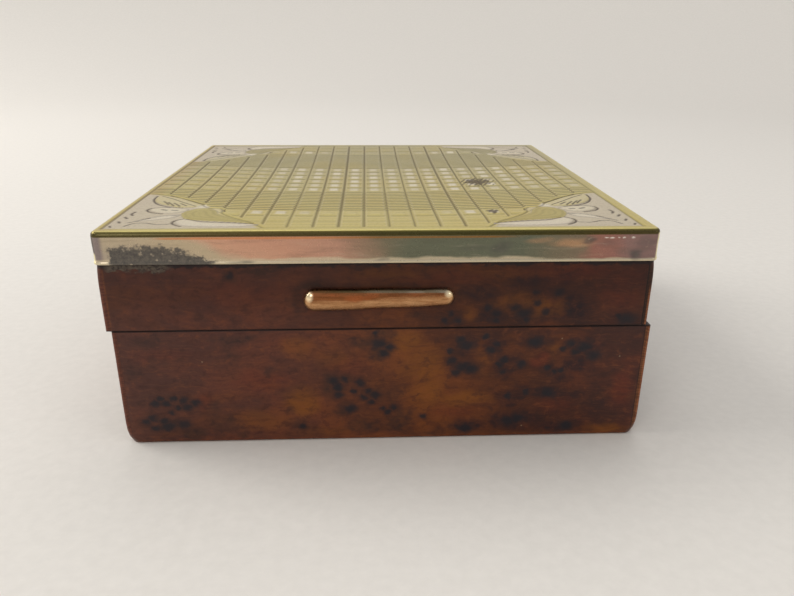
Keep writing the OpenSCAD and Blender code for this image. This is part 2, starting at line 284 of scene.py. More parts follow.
SMOKE = [
    (-44.5, 9.2, 7, 2.8, 0.35), (-46.5, 4.6, 6.5, 2.6, 0.4), (-34.5, 4.2, 4.6, 3.6, 0.5), (-40.2, 1.8, 3.4, 1.6, 0.6),
    (-30.4, 1.6, 2, 1.4, 0.6), (-35.6, 9, 2.2, 3, 0.35), (-46, 18.6, 6, 1, 0.35), (-47.5, 24.2, 4, 1.6, 0.35),
    (-51.5, 17, 2.6, 3, 0.25), (-31.5, 19.8, 3.2, 5, 0.4), (-30, 24.4, 8, 1.2, 0.4), (-22.8, 17, 2.6, 1.6, 0.35),
    (-17.6, 3.8, 1.9, 1.6, 0.6), (-20, 7.4, 1.2, 1.4, 0.3), (-10.4, 12.6, 3, 4, 0.8), (-8, 14.6, 2, 1.6, 0.5),
    (-3.6, 10.8, 3, 2.6, 0.4), (-7.8, 7.4, 2.6, 1.6, 0.6), (-4.4, 3.6, 4.2, 2.4, 0.6), (2.6, 5.4, 4, 4.2, 0.6),
    (-4.6, 23, 3.2, 2.2, 0.65), (-1, 24.3, 3.6, 1.2, 0.7), (-0.8, 21, 2.8, 3.6, 0.8), (1.8, 11.5, 3.4, 2.6, 0.3),
    (15.8, 21.5, 4.6, 3.8, 0.7), (16, 17.4, 4.4, 2.8, 0.85), (17.2, 22, 2.8, 2, 0.8), (22.2, 21.6, 3.6, 3, 0.7),
    (25.4, 17.6, 4.6, 3.2, 0.75), (31, 23, 4.2, 2.2, 0.8), (24.6, 15.2, 2.6, 1.6, 0.6), (35.2, 16, 2.8, 1.4, 0.5),
    (40.6, 21, 5.4, 2.8, 0.85), (39.6, 16.8, 5, 2.2, 0.95), (37, 14, 3, 1.6, 0.5), (34.6, 10.6, 4.8, 1.7, 1.0),
    (40, 9.8, 3.4, 1, 0.5), (25.4, 9.2, 3, 2, 0.75), (29, 10.8, 4, 1.8, 0.5), (28, 3.8, 6, 2.6, 1.0),
    (17.2, 2.3, 5.4, 2, 1), (24, 4, 1.6, 2.4, 0.8), (36, 1.9, 3.6, 1.5, 0.9), (39.4, 2.8, 3.2, 1.5, 0.95),
    (45.4, 8.6, 3.4, 4.4, 0.3), (12, 1.4, 4, 1.2, 0.4), (13.4, 27.8, 3.4, 2, 0.55), (21.2, 28.8, 2.8, 2.6, 0.7),
    (27.6, 29, 3.4, 2.6, 0.6), (32.4, 28.4, 3, 2.4, 0.4), (37.8, 30.4, 4.2, 4.4, 1), (34.4, 33.2, 2.6, 2.4, 0.7),
    (28.2, 35.6, 5.2, 2.2, 0.8), (19.2, 33.4, 4.6, 2.2, 0.8), (49.2, 27.4, 3.2, 1.8, 0.95), (36, 36.4, 3.4, 1.6, 0.5),
    (7, 28.6, 3, 1.6, 0.35), (-14, 35, 4, 1.1, 0.7), (-17.6, 31.2, 1.9, 1.6, 0.5), (-24, 38.6, 6.4, 0.9, 0.75),
    (-4.5, 39.2, 4.4, 0.8, 0.7), (-30.2, 37, 1.6, 1.4, 0.6),
]
GLOW = [
    (-17.4, 9, 4.2, 3.8, 1), (-26, 5, 8, 3.2, 0.6), (-14, 2, 8, 1.8, 0.4), (-17.5, 21.5, 4, 3, 0.5),
    (-11, 19.5, 4, 3, 0.4), (4.4, 22.8, 4.4, 2.8, 1), (7.5, 17.5, 5.4, 5, 0.85), (9, 11.5, 4.4, 4.4, 0.85),
    (16.6, 9.8, 6, 2, 0.85), (19.5, 18.5, 2, 4, 0.4), (34.5, 20.5, 1.8, 2.2, 0.5), (48, 1.7, 6, 1.8, 0.9),
    (26, 31.6, 6, 2.6, 0.9), (31.4, 30.2, 2.6, 2.6, 1), (17.6, 28.8, 2.4, 1.8, 0.8), (34.8, 30.8, 2.2, 2.4, 0.8),
    (0, 37.8, 7, 1.3, 0.6), (26, 37.4, 9, 1.2, 0.35),
]
REDDISH = [
    (32.4, 17.8, 1.9, 1.9, 1), (36.5, 7.6, 5, 2.6, 0.6), (50.6, 11.5, 3.4, 6.5, 0.9), (-37.2, 9.8, 1.6, 2.8, 0.7),
    (-24, 14.6, 8, 2.6, 0.5), (-44, 20.4, 8, 2, 0.4), (35, 37.6, 14, 2, 0.9), (12, 36, 10, 2, 0.7),
    (14, 6, 6, 2.4, 0.5), (-8, 17.5, 6, 3, 0.5), (48, 34, 5, 5, 0.7), (-30, 34, 14, 3, 0.3),
]


def burr(name, side):
    m = Mat(name)
    u, w, v = {
        "front": (m.x, m.y, m.z),
        "right": (m.times(m.y, -1), m.x, m.z),
        "back": (m.times(m.x, -1), m.y, m.z),
        "left": (m.y, m.x, m.z),
    }[side]
    if side == "back":
        v = m.minus(FLIP, v)
    q = m.join(u, w, v)

    def either(base, lid):
        """One value on the base and another on the lid."""
        return m.band(m.z, SEAM - 0.05, SEAM + 0.05, base, lid)

    near = m.warped(q, (0.75, 0.75, 0.75), (1.5, 0, 1.3))
    wide = m.warped(q, (0.16, 0.16, 0.2), (5, 0, 4))
    swirl = m.warped(q, (0.05, 0.05, 0.07), (16, 4, 11.0), 3.0)

    # Ground: purple-brown at one end, golden in the middle, red-brown at the other end, in clouds
    cloud = m.noise(m.scaled(swirl, (0.10, 0.10, 0.15)), 4, 0.6)
    place = along_front(m, m.split(swirl)[0])
    dull = m.tones(place, (0, 76, 47, 41), (0.3, 82, 48, 39), (0.48, 88, 48, 31), (0.62, 78, 42, 26),
                   (0.75, 62, 35, 27), (1, 64, 37, 32))
    rich = m.tones(place, (0, 90, 53, 43), (0.3, 102, 55, 39), (0.48, 114, 62, 32), (0.6, 114, 62, 28),
                   (0.75, 90, 48, 28), (1, 84, 43, 32))
    m.colour = m.mix(m.band(cloud, 0.36, 0.66), dull, rich)
    drift = m.noise(m.scaled(swirl, (0.06, 0.06, 0.16), (9, 4, 2)), 3, 0.55)
    m.coat(m.band(drift, 0.5, 0.7, 0, 0.28), (112, 60, 24))
    red = m.times(m.blobs(wide, REDDISH), m.band(cloud, 0.25, 0.6, 0.5, 1))
    m.coat(m.times(red, 0.7), (104, 46, 30))
    glow = m.times(m.blobs(wide, GLOW), m.band(cloud, 0.2, 0.6, 0.55, 1))
    m.coat(m.times(glow, 0.76), (128, 75, 26))

    # Grain that runs along the sheet and flows round the eyes
    broad = m.noise(m.scaled(swirl, (0.09, 0.09, 0.9)), 4, 0.62)
    m.coat(m.band(broad, 0.47, 0.72, 0, 0.32), (58, 32, 27))
    lines = m.noise(m.scaled(wide, (0.17, 0.17, 3.4)), 4, 0.66)
    m.coat(m.band(lines, 0.5, 0.76, 0, 0.20), (142, 84, 42))
    m.coat(m.band(lines, 0.46, 0.24, 0, 0.22), (52, 28, 23))
    mottle = m.noise(m.scaled(near, (0.42, 0.42, 0.62), (7, 3, 5)), 3, 0.62)
    m.coat(m.band(mottle, 0.5, 0.68, 0, 0.42), (54, 32, 28))
    m.coat(m.band(mottle, 0.46, 0.3, 0, 0.30), (124, 68, 38))
    fleck = m.noise(m.scaled(near, (1.3, 1.3, 1.7)), 4, 0.7)
    m.coat(m.band(fleck, 0.5, 0.78, 0, 0.40), (56, 34, 31))

    # Smoky areas, the small figure in them, and the eyes
    smoke = m.blobs(wide, SMOKE)
    knots = m.cells(m.scaled(near, (0.62, 0.62, 0.78), (3.1, 1.7, 0.4)))
    soot = m.mix(m.band(place, 0.52, 0.68), srgb(46, 37, 33), srgb(37, 25, 31))
    m.coat(m.times(smoke, m.band(mottle, 0.3, 0.62, 0.5, 0.84)), soot)
    curl = m.times(smoke, m.band(knots, 0.52, 0.24))
    m.coat(m.times(curl, 0.6), (34, 29, 34))
    halo = m.times(smoke, m.band(knots, 0.55, 0.85), m.band(fleck, 0.6, 0.35))
    m.coat(m.times(halo, 0.42), (108, 60, 34))
    small = m.nearest(near, EYES_SMALL, 0.70, 0.62)
    mid = m.nearest(near, EYES, 0.98, 0.84)
    big = m.nearest(near, EYES_WIDE, 1.55, 1.05)
    d = m.least(small, mid, big)
    ring = m.band(d, 2.5, 1.1, 0, 0.34)
    eye = m.band(d, 1.6, 0.35, 0, 0.86)
    m.coat(ring, (62, 38, 32))
    m.coat(eye, (31, 31, 37))

    # The lid is made darker than the base, most of all toward the middle and the top; the darkening toward the top is
    # painted shade under the cap's overhang
    deep = m.ramp(place, [(0, 0.34), (0.3, 0.42), (0.5, 0.58), (0.7, 0.48), (1, 0.44)])
    m.coat(m.times(m.band(m.z, 27, 36, 0.42, 1.05), m.band(m.z, SEAM - 0.02, SEAM + 0.02), deep), (30, 8, 4))

    # A few pale specks of filler, wear and the sheets' own edges
    specks = [(36.3, 23.2), (48.8, 19), (29.3, 2.7), (-37.3, 19)]
    speck = m.nearest(m.warped(q, (3, 3, 3), (0.2, 0, 0.2)), specks, 0.17, 0.17)
    m.coat(m.band(speck, 1.3, 0.5, 0, 0.6), (150, 122, 96))
    rub = m.noise(m.scaled(q, (0.5, 0.5, 0.9)), 4, 0.7)
    rubbed = m.times(m.band(m.abs(u), WOOD - 0.6, WOOD), m.band(rub, 0.3, 0.6, 0.35, 1))
    foot = m.times(m.band(m.z, 1.3, 0.2), m.band(rub, 0.35, 0.65, 0.1, 0.7))
    m.coat(m.times(m.most(rubbed, foot), 0.6), (132, 74, 38))
    if side in ("left", "right"):
        # the side sheets run past the front and back ones, so their sawn edge shows there
        right = side == "right"
        sawn = m.band(m.abs(m.y), WOOD - 0.35, WOOD - 0.15)
        edge = (srgb(118, 68, 40), srgb(160, 100, 62)) if right else (srgb(88, 50, 40), srgb(116, 66, 52))
        m.coat(m.times(sawn, 0.85), m.mix(m.band(lines, 0.4, 0.65), *edge))
        # old glue and dirt on its inner half, and on nearly all of it toward the lid's top
        out = m.plus(m.abs(m.x), either(0, 1 if right else -1))
        dirt = m.most(m.band(out, 54.15, 53.85), m.times(m.band(m.z, 31.5, 35.5), m.band(out, 54.55, 54.3)))
        m.coat(m.times(dirt, sawn, either(0.5, 0.88) if right else 0.3), (24, 16, 16))
    else:
        # the glue line beside the side sheets; the lid sits 1 mm to the left
        across = m.plus(m.x, either(0, 1))
        m.coat(m.times(m.band(across, 53.18, 53.42), either(0.45, 0.9)), (20, 13, 12))
        m.coat(m.band(across, -53.25, -53.42, 0, 0.15), (30, 19, 17))
    # painted shade along the joint between base and lid
    seam_shade = m.band(m.abs(m.minus(m.z, SEAM)), 0.34, 0.12)
    m.coat(m.times(seam_shade, 0.85), (24, 14, 12))
    # painted shade under the cap's lower edge
    under = m.band(m.plus(m.z, m.band(mottle, 0.3, 0.7, -0.35, 0.35)), 38.95, 39.55)
    m.coat(m.times(under, m.band(fleck, 0.2, 0.6, 0.7, 0.95)), (30, 21, 23))
    if side == "front":
        # tarnish dust that has fallen from the cap, and painted shade round the thumb-piece, most of all above it
        dust = m.times(m.band(m.plus(m.z, m.band(mottle, 0.3, 0.7, -0.6, 0.6)), 38.2, 38.9),
                       m.band(m.x, -WOOD, 2 - WOOD), m.band(m.x, -40.4, -43.4))
        m.coat(m.times(dust, 0.88), m.mix(m.band(fleck, 0.35, 0.62), srgb(48, 41, 39), srgb(92, 82, 70)))
        thumb_shade = m.blobs(q, [(-1.3, 34.8, 16, 1.1, 0.35), (-17.4, 33, 1.4, 2.6, 0.5), (-14.5, 35.6, 3.4, 1.4, 0.5)])
        m.coat(m.times(thumb_shade, 0.8), (26, 17, 15))

    r = m.ramp(m.noise(m.scaled(q, (0.35, 0.35, 0.6)), 4.0), [(0.3, 0.30), (0.7, 0.45)])
    relief = m.plus(m.times(lines, 0.6), m.times(fleck, 0.7))
    relief = m.minus(relief, m.times(eye, 0.35))
    return m.finish(Base_Color=m.colour, Roughness=r, Normal=m.bump(relief, 0.00006, 0.4),
                    Specular_IOR_Level=0.18, Coat_Weight=0.05, Coat_Roughness=0.24)


def plain_wood(name, dark, light, along, rough=0.6):
    m = Mat(name)
    scale = (0.05, 0.9, 0.9) if along == "x" else (0.9, 0.05, 0.9)
    p = m.warped(m.pos, (0.04, 0.04, 0.04), (7, 7, 7))
    grain = m.noise(m.vmath("MULTIPLY", p, scale), 5, 0.62)
    fine = m.noise(m.vmath("MULTIPLY", p, tuple(c * 4 for c in scale)), 3, 0.6)
    half = tuple((a + b) / 2 for a, b in zip(dark, light))
    colour = m.ramp(grain, [(0.28, dark), (0.5, half), (0.72, light)])
    colour = m.mix(m.band(fine, 0.5, 0.8, 0, 0.4), colour, tuple(c * 0.5 for c in dark))
    r = m.ramp(fine, [(0.3, rough - 0.08), (0.7, rough + 0.08)])
    return m.finish(Base_Color=colour, Roughness=r, Normal=m.bump(fine, 0.0001, 0.4), Specular_IOR_Level=0.3)


def aged_metal(name, colour, dull, rough=0.34):
    m = Mat(name)
    cloud = m.noise(m.scaled(m.pos, (0.25, 0.25, 0.25)), 4, 0.6)
    fine = m.noise(m.scaled(m.pos, (2.2, 2.2, 2.2)), 4, 0.65)
    c = m.mix(m.band(cloud, 0.4, 0.72, 0, 0.7), colour, dull)
    c = m.mix(m.band(fine, 0.56, 0.8, 0, 0.55), c, tuple(v * 0.35 for v in dull))
    r = m.ramp(fine, [(0.3, rough - 0.06), (0.75, rough + 0.16)])
    return m.finish(Base_Color=c, Metallic=1, Roughness=r, Normal=m.bump(fine, 0.00003, 0.3))


# Thumb-piece: satin copper-coloured metal, with painted highlights at its ends and a painted reflection along its top

def copper():
    m = Mat("thumb_copper")
    lo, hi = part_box("thumb_piece")
    mid, half = (lo.x + hi.x) * 500, (hi.x - lo.x) * 500
    top = hi.z * 1000
    far = m.abs(m.minus(m.x, mid))
    brushed = m.noise(m.scaled(m.pos, (0.22, 2.6, 2.6)), 4, 0.6)
    cloud = m.noise(m.scaled(m.pos, (0.16, 0.5, 0.5), (4, 2, 6)), 3, 0.55)
    pits = m.noise(m.scaled(m.pos, (1, 1.9, 1.9)), 5, 0.72)
    wavy = m.plus(m.z, m.band(cloud, 0.35, 0.65, -0.25, 0.25))
    lean = m.band(m.x, mid - half, mid + half, 0, 0.75)
    low = m.band(m.minus(wavy, lean), top - 1.7, top - 2.9)
    high = m.band(m.plus(m.z, m.times(lean, 0.3)), top - 0.62, top - 0.34)
    m.colour = m.mix(m.band(brushed, 0.32, 0.7), srgb(126, 78, 47), srgb(152, 96, 60))
    m.coat(low, m.mix(m.band(brushed, 0.35, 0.65), srgb(170, 123, 83), srgb(197, 150, 107)))
    m.coat(m.times(m.band(cloud, 0.5, 0.66), m.band(low, 0, 1, 0.45, 0.15)), (180, 100, 58))
    m.coat(m.times(m.band(pits, 0.52, 0.70), m.band(low, 0, 1, 0.2, 0.45)), (126, 86, 52))
    paler = m.times(m.band(cloud, 0.35, 0.55, 0.4, 1), m.band(m.x, mid - half + 6, mid + half - 6))
    # painted reflection along the bar's upper face, paler toward its right end
    m.coat(m.times(high, m.band(m.x, mid - half + 3, mid - half + 8, 0.5, 0.92)),
           m.mix(paler, srgb(100, 86, 58), srgb(158, 148, 128)))
    # painted highlights at the upper part of both ends, with a painted lighter line running down from them
    glints = [(mid - half + 1.2, top - 1.25, 0.85, 1.1, 1), (mid + half - 1.1, top - 0.95, 1, 0.75, 1.0)]
    ends = m.blobs(m.pos, glints)
    m.coat(m.times(m.band(far, half - 1.7, half - 0.9), m.band(m.z, top - 4.4, top - 3), 0.5), (226, 178, 128))
    m.coat(m.times(ends, 0.95), (255, 232, 192))
    r = m.mix(ends, m.ramp(pits, [(0.35, 0.24), (0.7, 0.40)]), (0.16, 0.16, 0.16))
    return m.finish(Base_Color=m.colour,Metallic=1, Roughness=r, Normal=m.bump(pits, 0.00006, 0.35))


# Dress the CAD nodes: materials go on the objects' own slots and their meshes stay as they are

def smooth_group():
    """Node group for a modifier that shades a node smooth, apart from its sharp edges."""
    g = bpy.data.node_groups.new("smooth_by_angle", "GeometryNodeTree")
    g.interface.new_socket("Geometry", in_out="INPUT", socket_type="NodeSocketGeometry")
    g.interface.new_socket("Geometry", in_out="OUTPUT", socket_type="NodeSocketGeometry")
    first, last = g.nodes.new("NodeGroupInput"), g.nodes.new("NodeGroupOutput")
    edge = g.nodes.new("GeometryNodeInputMeshEdgeAngle")
    more = g.nodes.new("FunctionNodeCompare")
    more.data_type = "FLOAT"
    more.operation = "GREATER_THAN"
    more.inputs[1].default_value = math.radians(SHARP)
    merge = g.nodes.new("GeometryNodeMergeByDistance")
    merge.inputs["Distance"].default_value = WELD
    faces = g.nodes.new("GeometryNodeSetShadeSmooth")
    faces.domain = "FACE"
    sharp = g.nodes.new("GeometryNodeSetShadeSmooth")
    sharp.domain = "EDGE"
    sharp.inputs["Shade Smooth"].default_value = False
    g.links.new(first.outputs[0], merge.inputs[0])
    g.links.new(merge.outputs[0], faces.inputs["Geometry"])
    g.links.new(faces.outputs[0], sharp.inputs["Geometry"])
    g.links.new(edge.outputs["Unsigned Angle"], more.inputs[0])
    g.links.new(more.outputs[0], sharp.inputs["Selection"])
    g.links.new(sharp.outputs[0], last.inputs[0])
    return g


def dress(o, mat, soft):
    if not o.material_slots:
        raise RuntimeError("node without a material slot: " + o.name)
    for s in o.material_slots:
        s.link = "OBJECT"
        s.material = mat
    weld = o.modifiers.new("weld", "WELD")
    weld.merge_threshold = WELD
    bevel = o.modifiers.new("eased_edges", "BEVEL")
    bevel.width = soft
    bevel.segments = 2
    bevel.limit_method = "ANGLE"
    bevel.angle_limit = math.radians(EASED)
    o.modifiers.new("smooth", "NODES").node_group = smoother


smoother = smooth_group()
veneer = {side: burr("burr_veneer_" + side, side) for side in ("front", "back", "left", "right")}
carcass = {a: plain_wood("carcass_" + a, srgb(88, 54, 32), srgb(142, 98, 60), a) for a in "xy"}
cedar = {a: plain_wood("cedar_" + a, srgb(126, 70, 42), srgb(180, 116, 72), a, 0.66) for a in "xy"}
hinge = aged_metal("hinge_brass", srgb(196, 162, 92), srgb(120, 92, 50))
thumb = copper()

for name, o in nodes.items():
    side = name.rsplit("_", 1)[-1]
    axis = "y" if side in ("left", "right") else "x"
    if "veneer" in name:
        dress(o, veneer[side], 0.00010)
    elif "liner" in name or name == "lid_lining":
        dress(o, cedar[axis], 0.00020)
    elif name.startswith("hinge"):
        dress(o, hinge, 0.00005)
    elif name not in ("lid_cap", "thumb_piece"):
        dress(o, carcass[axis], 0.00012)


# Pressed cap: plan sizes in millimetres, measured from the middle of the cap

lo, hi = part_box("lid_cap")
CX, CY = (lo.x + hi.x) * 500, (lo.y + hi.y) * 500
TOP, LOW = hi.z * 1000, lo.z * 1000
RIM_HALF = (hi.x - lo.x) * 500
HALF = RIM_HALF - 0.1          # face of the skirt
EDGE_R = 1.0                   # rounding of the upper edge
CORNER_R = 1.6                 # rounding of the vertical corners
SHEET = 0.6                    # thickness of the metal
DISH = 1.1                     # depth of the round hollow in the top
DISH_R = 49.5                  # radius of the hollow
FLAT = HALF - EDGE_R           # half width of what the height field covers
COLS, COL = 21, 5.014          # number of columns and their pitch
ROWS, ROW = 20, 5.25           # number of rows and their pitch
PAT_X = -0.6                   # the pattern is struck a little off the middle
LINE_X = 52.6                  # border lines at the sides, from the pattern's middle
LINE_Y = 52.4                  # front and back ends of the field
RIB = ROW / 3                  # pitch of the fine ribs
SWOOSH = 2                     # which of the spray's leaves is chased with long lines


def smooth(v, a, b):
    t = np.clip((v - a) / (b - a), 0, 1)
    return t * t * (3 - 2 * t)


def spline(points, closed=False, steps=6):
    p = np.array(points, float)
    n = len(p)
    out = []
    for i in range(n if closed else n - 1):
        p0 = p[(i - 1) % n] if closed or i > 0 else p[0]
        p1, p2 = p[i], p[(i + 1) % n]
        p3 = p[(i + 2) % n] if closed or i + 2 < n else p[-1]
        for s in range(steps):
            t = s / steps
            out.append(0.5 * (2 * p1 + (p2 - p0) * t + (2 * p0 - 5 * p1 + 4 * p2 - p3) * t * t
                              + (3 * p1 - p0 - 3 * p2 + p3) * t ** 3))
    if not closed:
        out.append(p[-1])
    return np.array(out)


def seg_dist(q, line, closed=False):
    """Distance of the points q to a polyline."""
    best = np.full(len(q), 1e9)
    for i in range(len(line) if closed else len(line) - 1):
        a, b = line[i], line[(i + 1) % len(line)]
        ab = b - a
        t = np.clip(((q - a) @ ab) / max(ab @ ab, 1e-12), 0, 1)
        d = q - a - t[:, None] * ab
        best = np.minimum(best, np.einsum("ij,ij->i", d, d))
    return np.sqrt(best)


def inside(q, poly):
    res = np.zeros(len(q), bool)
    for i in range(len(poly)):
        a, b = poly[i], poly[(i + 1) % len(poly)]
        if a[1] == b[1]:
            continue
        cond = (a[1] > q[:, 1]) != (b[1] > q[:, 1])
        res ^= cond & (q[:, 0] < a[0] + (q[:, 1] - a[1]) / (b[1] - a[1]) * (b[0] - a[0]))
    return res


# Acanthus spray that fills each corner. Points are (inward from the side line, inward from the
# front line), in millimetres; the other three corners are its mirror images.
EDGE = [(0, 31.8), (2.4, 31.2), (4.6, 30), (7, 28.4), (9.3, 26.6), (11.6, 24.2), (13.6, 22.2),
        (15.2, 20.4), (16.2, 18.2), (17.7, 17), (19.6, 16.6), (20.7, 14.9), (21, 12.4), (22.8, 9.9),
        (25.4, 7.2), (28.6, 4), (31.4, 0.0)]
LEAVES = [
    # outline, height, silver share
    ([(14, 17.7), (14.9, 19.6), (13, 21.8), (10.5, 24.5), (7.6, 27.1), (4.8, 29), (2.9, 28.9),
      (2.7, 26.5), (3.5, 23.7), (5.4, 20.8), (8.2, 18.7), (11.3, 17.4)], 0.16, 0.30),
    ([(12.9, 15.3), (11, 16.7), (8.6, 17.3), (5.8, 17), (4.7, 15.7), (5.5, 14), (7.6, 12.6),
      (9.9, 12.4), (11.8, 13.3)], 0.15, 0.9),
    ([(15.2, 16.7), (12.9, 14.4), (12.3, 11.7), (13.2, 8.8), (14.6, 7.3), (18, 6), (22.5, 5.2),
      (28.2, 4), (24.8, 7), (21.8, 9.4), (19.8, 11.4), (18.9, 14), (17.2, 16.0)], 0.14, 0.0),
    ([(29.4, 2.8), (24, 4), (18.2, 4.9), (15.8, 6.4), (13.9, 7.2), (12.6, 5.9), (13.1, 3.8),
      (15, 2.1), (20, 1.3), (26, 1.5)], 0.17, 1.0),
    ([(17.3, 16.4), (19.4, 16.1), (20.3, 14.5), (20, 12.5), (19, 14.0)], 0.14, 0.4),
    ([(12, 11.1), (9.4, 10.7), (6.6, 8.6), (4.4, 5.8), (6.2, 6), (8.6, 7.1), (11.4, 8.6)], 0.09, 1.0),
]
STROKES = [
    # line, half width, depth
    ([(2.6, 28.8), (2.9, 24.9), (4.6, 21.1), (7.4, 18.5), (11, 17.1)], 0.22, 0.16),
    ([(9.6, 17.8), (5.4, 17.4), (4.2, 15.6), (5.4, 13.4), (8.2, 12.0)], 0.22, 0.16),
    ([(13.6, 7.8), (12.1, 5.9), (12.6, 3.6), (14.4, 1.9)], 0.22, 0.16),
    ([(20.7, 16.4), (20.8, 13.6), (22.4, 10.9), (25, 8.2)], 0.18, 0.14),
    ([(12.2, 10.3), (9.2, 9.7), (6.4, 7.4), (3.6, 4.8)], 0.17, 0.10),
    ([(12, 3.8), (9.4, 3.5), (6.8, 4.7), (4.8, 4.3), (3.6, 2.2)], 0.18, 0.12),
    ([(13.6, 18.2), (10.4, 21.5), (6.9, 25.4), (4, 28.0)], 0.14, 0.08),
    ([(11.6, 18.6), (9.9, 20.7)], 0.18, 0.12), ([(10.2, 18.4), (8.3, 21.2)], 0.18, 0.12),
    ([(8.8, 18.9), (6.9, 21.9)], 0.18, 0.12), ([(7.4, 20), (5.7, 22.8)], 0.18, 0.12),
    ([(15.4, 19.9), (13, 22.2), (9.6, 25.6), (5.6, 29.0)], 0.15, 0.08),
    ([(28.2, 3.6), (22.4, 4.8), (17.6, 5.6), (14.4, 7.4)], 0.17, 0.12),
    ([(2.3, 13.6), (2, 12.1), (2.6, 10.7)], 0.24, 0.10), ([(1.5, 9.4), (2.3, 8.1)], 0.22, 0.10),
    ([(6.8, 8.3), (5.6, 7.5)], 0.20, 0.08), ([(1.4, 5.8), (2, 4.6)], 0.22, 0.10),
    ([(0.8, 2.4), (1.3, 1.4)], 0.20, 0.10), ([(7.4, 15.1), (8.4, 14.6)], 0.26, 0.10),
    ([(9.6, 14.6), (10.8, 14.2)], 0.20, 0.08),
]


def lines_of(breaks, fine, coarse):
    """Grid lines from -FLAT to FLAT: fine steps outside the two breaks and coarse ones between."""
    a = np.arange(-FLAT, -breaks, fine)
    b = np.arange(-breaks, breaks, coarse)
    c = np.arange(breaks, FLAT - fine / 2, fine)
    return np.concatenate([a, b, c, [FLAT]])


def cap_field():
    k = 1
    xs = lines_of(20.5, 0.25 * k, 0.33 * k)
    ys = lines_of(19.5, 0.25 * k, 0.31 * k)
    X, Y = np.meshgrid(xs, ys)
    x, y = X.ravel(), Y.ravel()
    px = x - PAT_X
    n = len(x)
    depth = DISH * np.clip(1 - (x * x + y * y) / DISH_R ** 2, 0, 1)
    relief, silver, dark = np.zeros(n), np.zeros(n), np.zeros(n)

    field = (np.abs(px) < LINE_X) & (np.abs(y) < LINE_Y)
    u = px / COL + 0.5
    fu = u - np.floor(u)
    dcol = np.minimum(fu, 1 - fu) * COL
    col = np.floor(u) + COLS // 2                 # 0 at the left end, 20 at the right
    v = y / ROW + ROWS // 2
    row = np.floor(v)                             # 0 at the front, 19 at the back
    fv = v - row
    drow = np.minimum(fv, 1 - fv) * ROW
    cx, cy = (fu - 0.5) * COL, (fv - 0.5) * ROW   # place inside the cell

    # The corner sprays' ground
    a, b = LINE_X - np.abs(px), LINE_Y - np.abs(y)
    near = (a > -0.5) & (a < 35) & (b > -0.5) & (b < 35)
    q = np.stack([a[near], b[near]], 1)
    edge = spline(EDGE)
    area = np.vstack([edge, [[31.4, -3.0], [-3, -3.0], [-3, 31.8]]])
    ins = inside(q, area)
    dist = seg_dist(q, edge)
    corner = np.full(n, -9.0)
    corner[near] = np.where(ins, dist, -dist)     # positive inside the spray's ground
    soft = smooth(-corner, 0, 0.5) * field

    # Ribs across the columns, quieter under the squares
    mid = (row >= 7) & (row <= 12)
    plain = (row <= 2) | (row >= 17)              # the ribs are all but flat toward the ends
    amp = np.where(mid, 0.016, np.where(plain, 0.010, 0.044))
    relief += (-0.07 + amp * np.cos(2 * np.pi * y / RIB)) * soft
    back = np.clip((y + 50) / 100, 0, 1)
    ribs = soft * np.where(mid, 0.16, np.where(plain, 0.12, 0.82 - 0.25 * back))     # lines drawn by the material

    # Column grooves, each with a slightly raised lip
    stop = 1 - smooth(np.abs(y), LINE_Y - 1, LINE_Y - 0.4)
    run = (np.abs(px) < 9.6 * COL) * stop * smooth(-corner, 0.5, 1.0)
    groove = (1 - smooth(dcol, 0.14 - 0.04 * back, 0.44 - 0.12 * back)) * run
    lip = (1 - smooth(np.abs(dcol - 0.55), 0.05, 0.25)) * run
    relief += 0.035 * lip - 0.20 * groove
    dark = np.maximum(dark, groove * (0.70 + 0.18 * back))
    silver = np.maximum(silver, lip * 0.2)
    side = (1 - smooth(np.abs(np.abs(px) - LINE_X), 0.12, 0.38)) * (np.abs(y) < LINE_Y + 0.4)
    relief -= 0.16 * side
    dark = np.maximum(dark, side * 0.62)

    # Cross lines between the rows of squares
    which = np.round(v)
    cross = (1 - smooth(drow, 0.22, 0.62)) * smooth(dcol, 0.45, 0.8) * soft
    kinds = [np.isin(which, k) for k in (range(8, 13), (7, 13), (2, 18), (1, 3, 17, 19))]
    deep = np.select(kinds, [0.11, 0.06, 0.09, 0.05], 0)
    tone = np.select(kinds, [0.62, 0.34, 0.45, 0.22], 0)
    relief -= cross * deep
    dark = np.maximum(dark, cross * tone)

    # Raised squares
    squares = (mid | (row == 2) | (row == 17)) & field
    e = np.maximum(np.abs(cx) - 1, np.abs(cy) - 1.45)
    sq = (1 - smooth(e, -0.30, 0.40)) * squares * soft
    dome = np.clip(1 - (cx / 1.6) ** 2, 0, 1) * np.clip(1 - (cy / 2.0) ** 2, 0, 1)
    relief += sq * (0.09 + 0.05 * dome)
    off = np.abs(col - COLS // 2)
    kept = (0.22 + 0.78 * smooth(col, 2.5, 6.5)) * (1 - 0.35 * smooth(col, 15.5, 19.5))
    worn = np.where(mid, kept, np.select([(off == 4) | (off == 5), off == 3], [0.95, 0.5], 0.12))
    each = np.random.default_rng(7).uniform(0.62, 1.0, (ROWS + 1, COLS))
    wear_and_highlight = sq * worn * each[np.clip(row, 0, ROWS).astype(int), np.clip(col, 0, COLS - 1).astype(int)]
    silver = np.maximum(silver, wear_and_highlight)

    # The sprays
    rel = np.where(ins, -0.10 * smooth(dist, 0, 0.6), 0)
    sil = np.where(ins, smooth(dist, 0.9, 1.8) * 0.9, 0.0)
    drk, lit = np.zeros(len(q)), np.zeros(len(q))
    for outline, high, share in LEAVES:
        poly = spline(outline, True)
        d = seg_dist(q, poly, True)
        isin = inside(q, poly)
        rel += np.where(isin, smooth(d, 0, 1.1), 0) * high * 1.15
        rim = np.where(isin, 1 - smooth(d, 0, 0.32), 1 - smooth(d, 0, 0.28))
        drk = np.maximum(drk, rim * 0.45 * ins)
        sil = np.where(isin, share, sil)
        # lit: painted highlights inside the leaves, away from their outlines
        lit = np.maximum(lit, np.where(isin, smooth(d, 0.15, 0.9), 0) * min(1, share * 2.4) * 0.7)
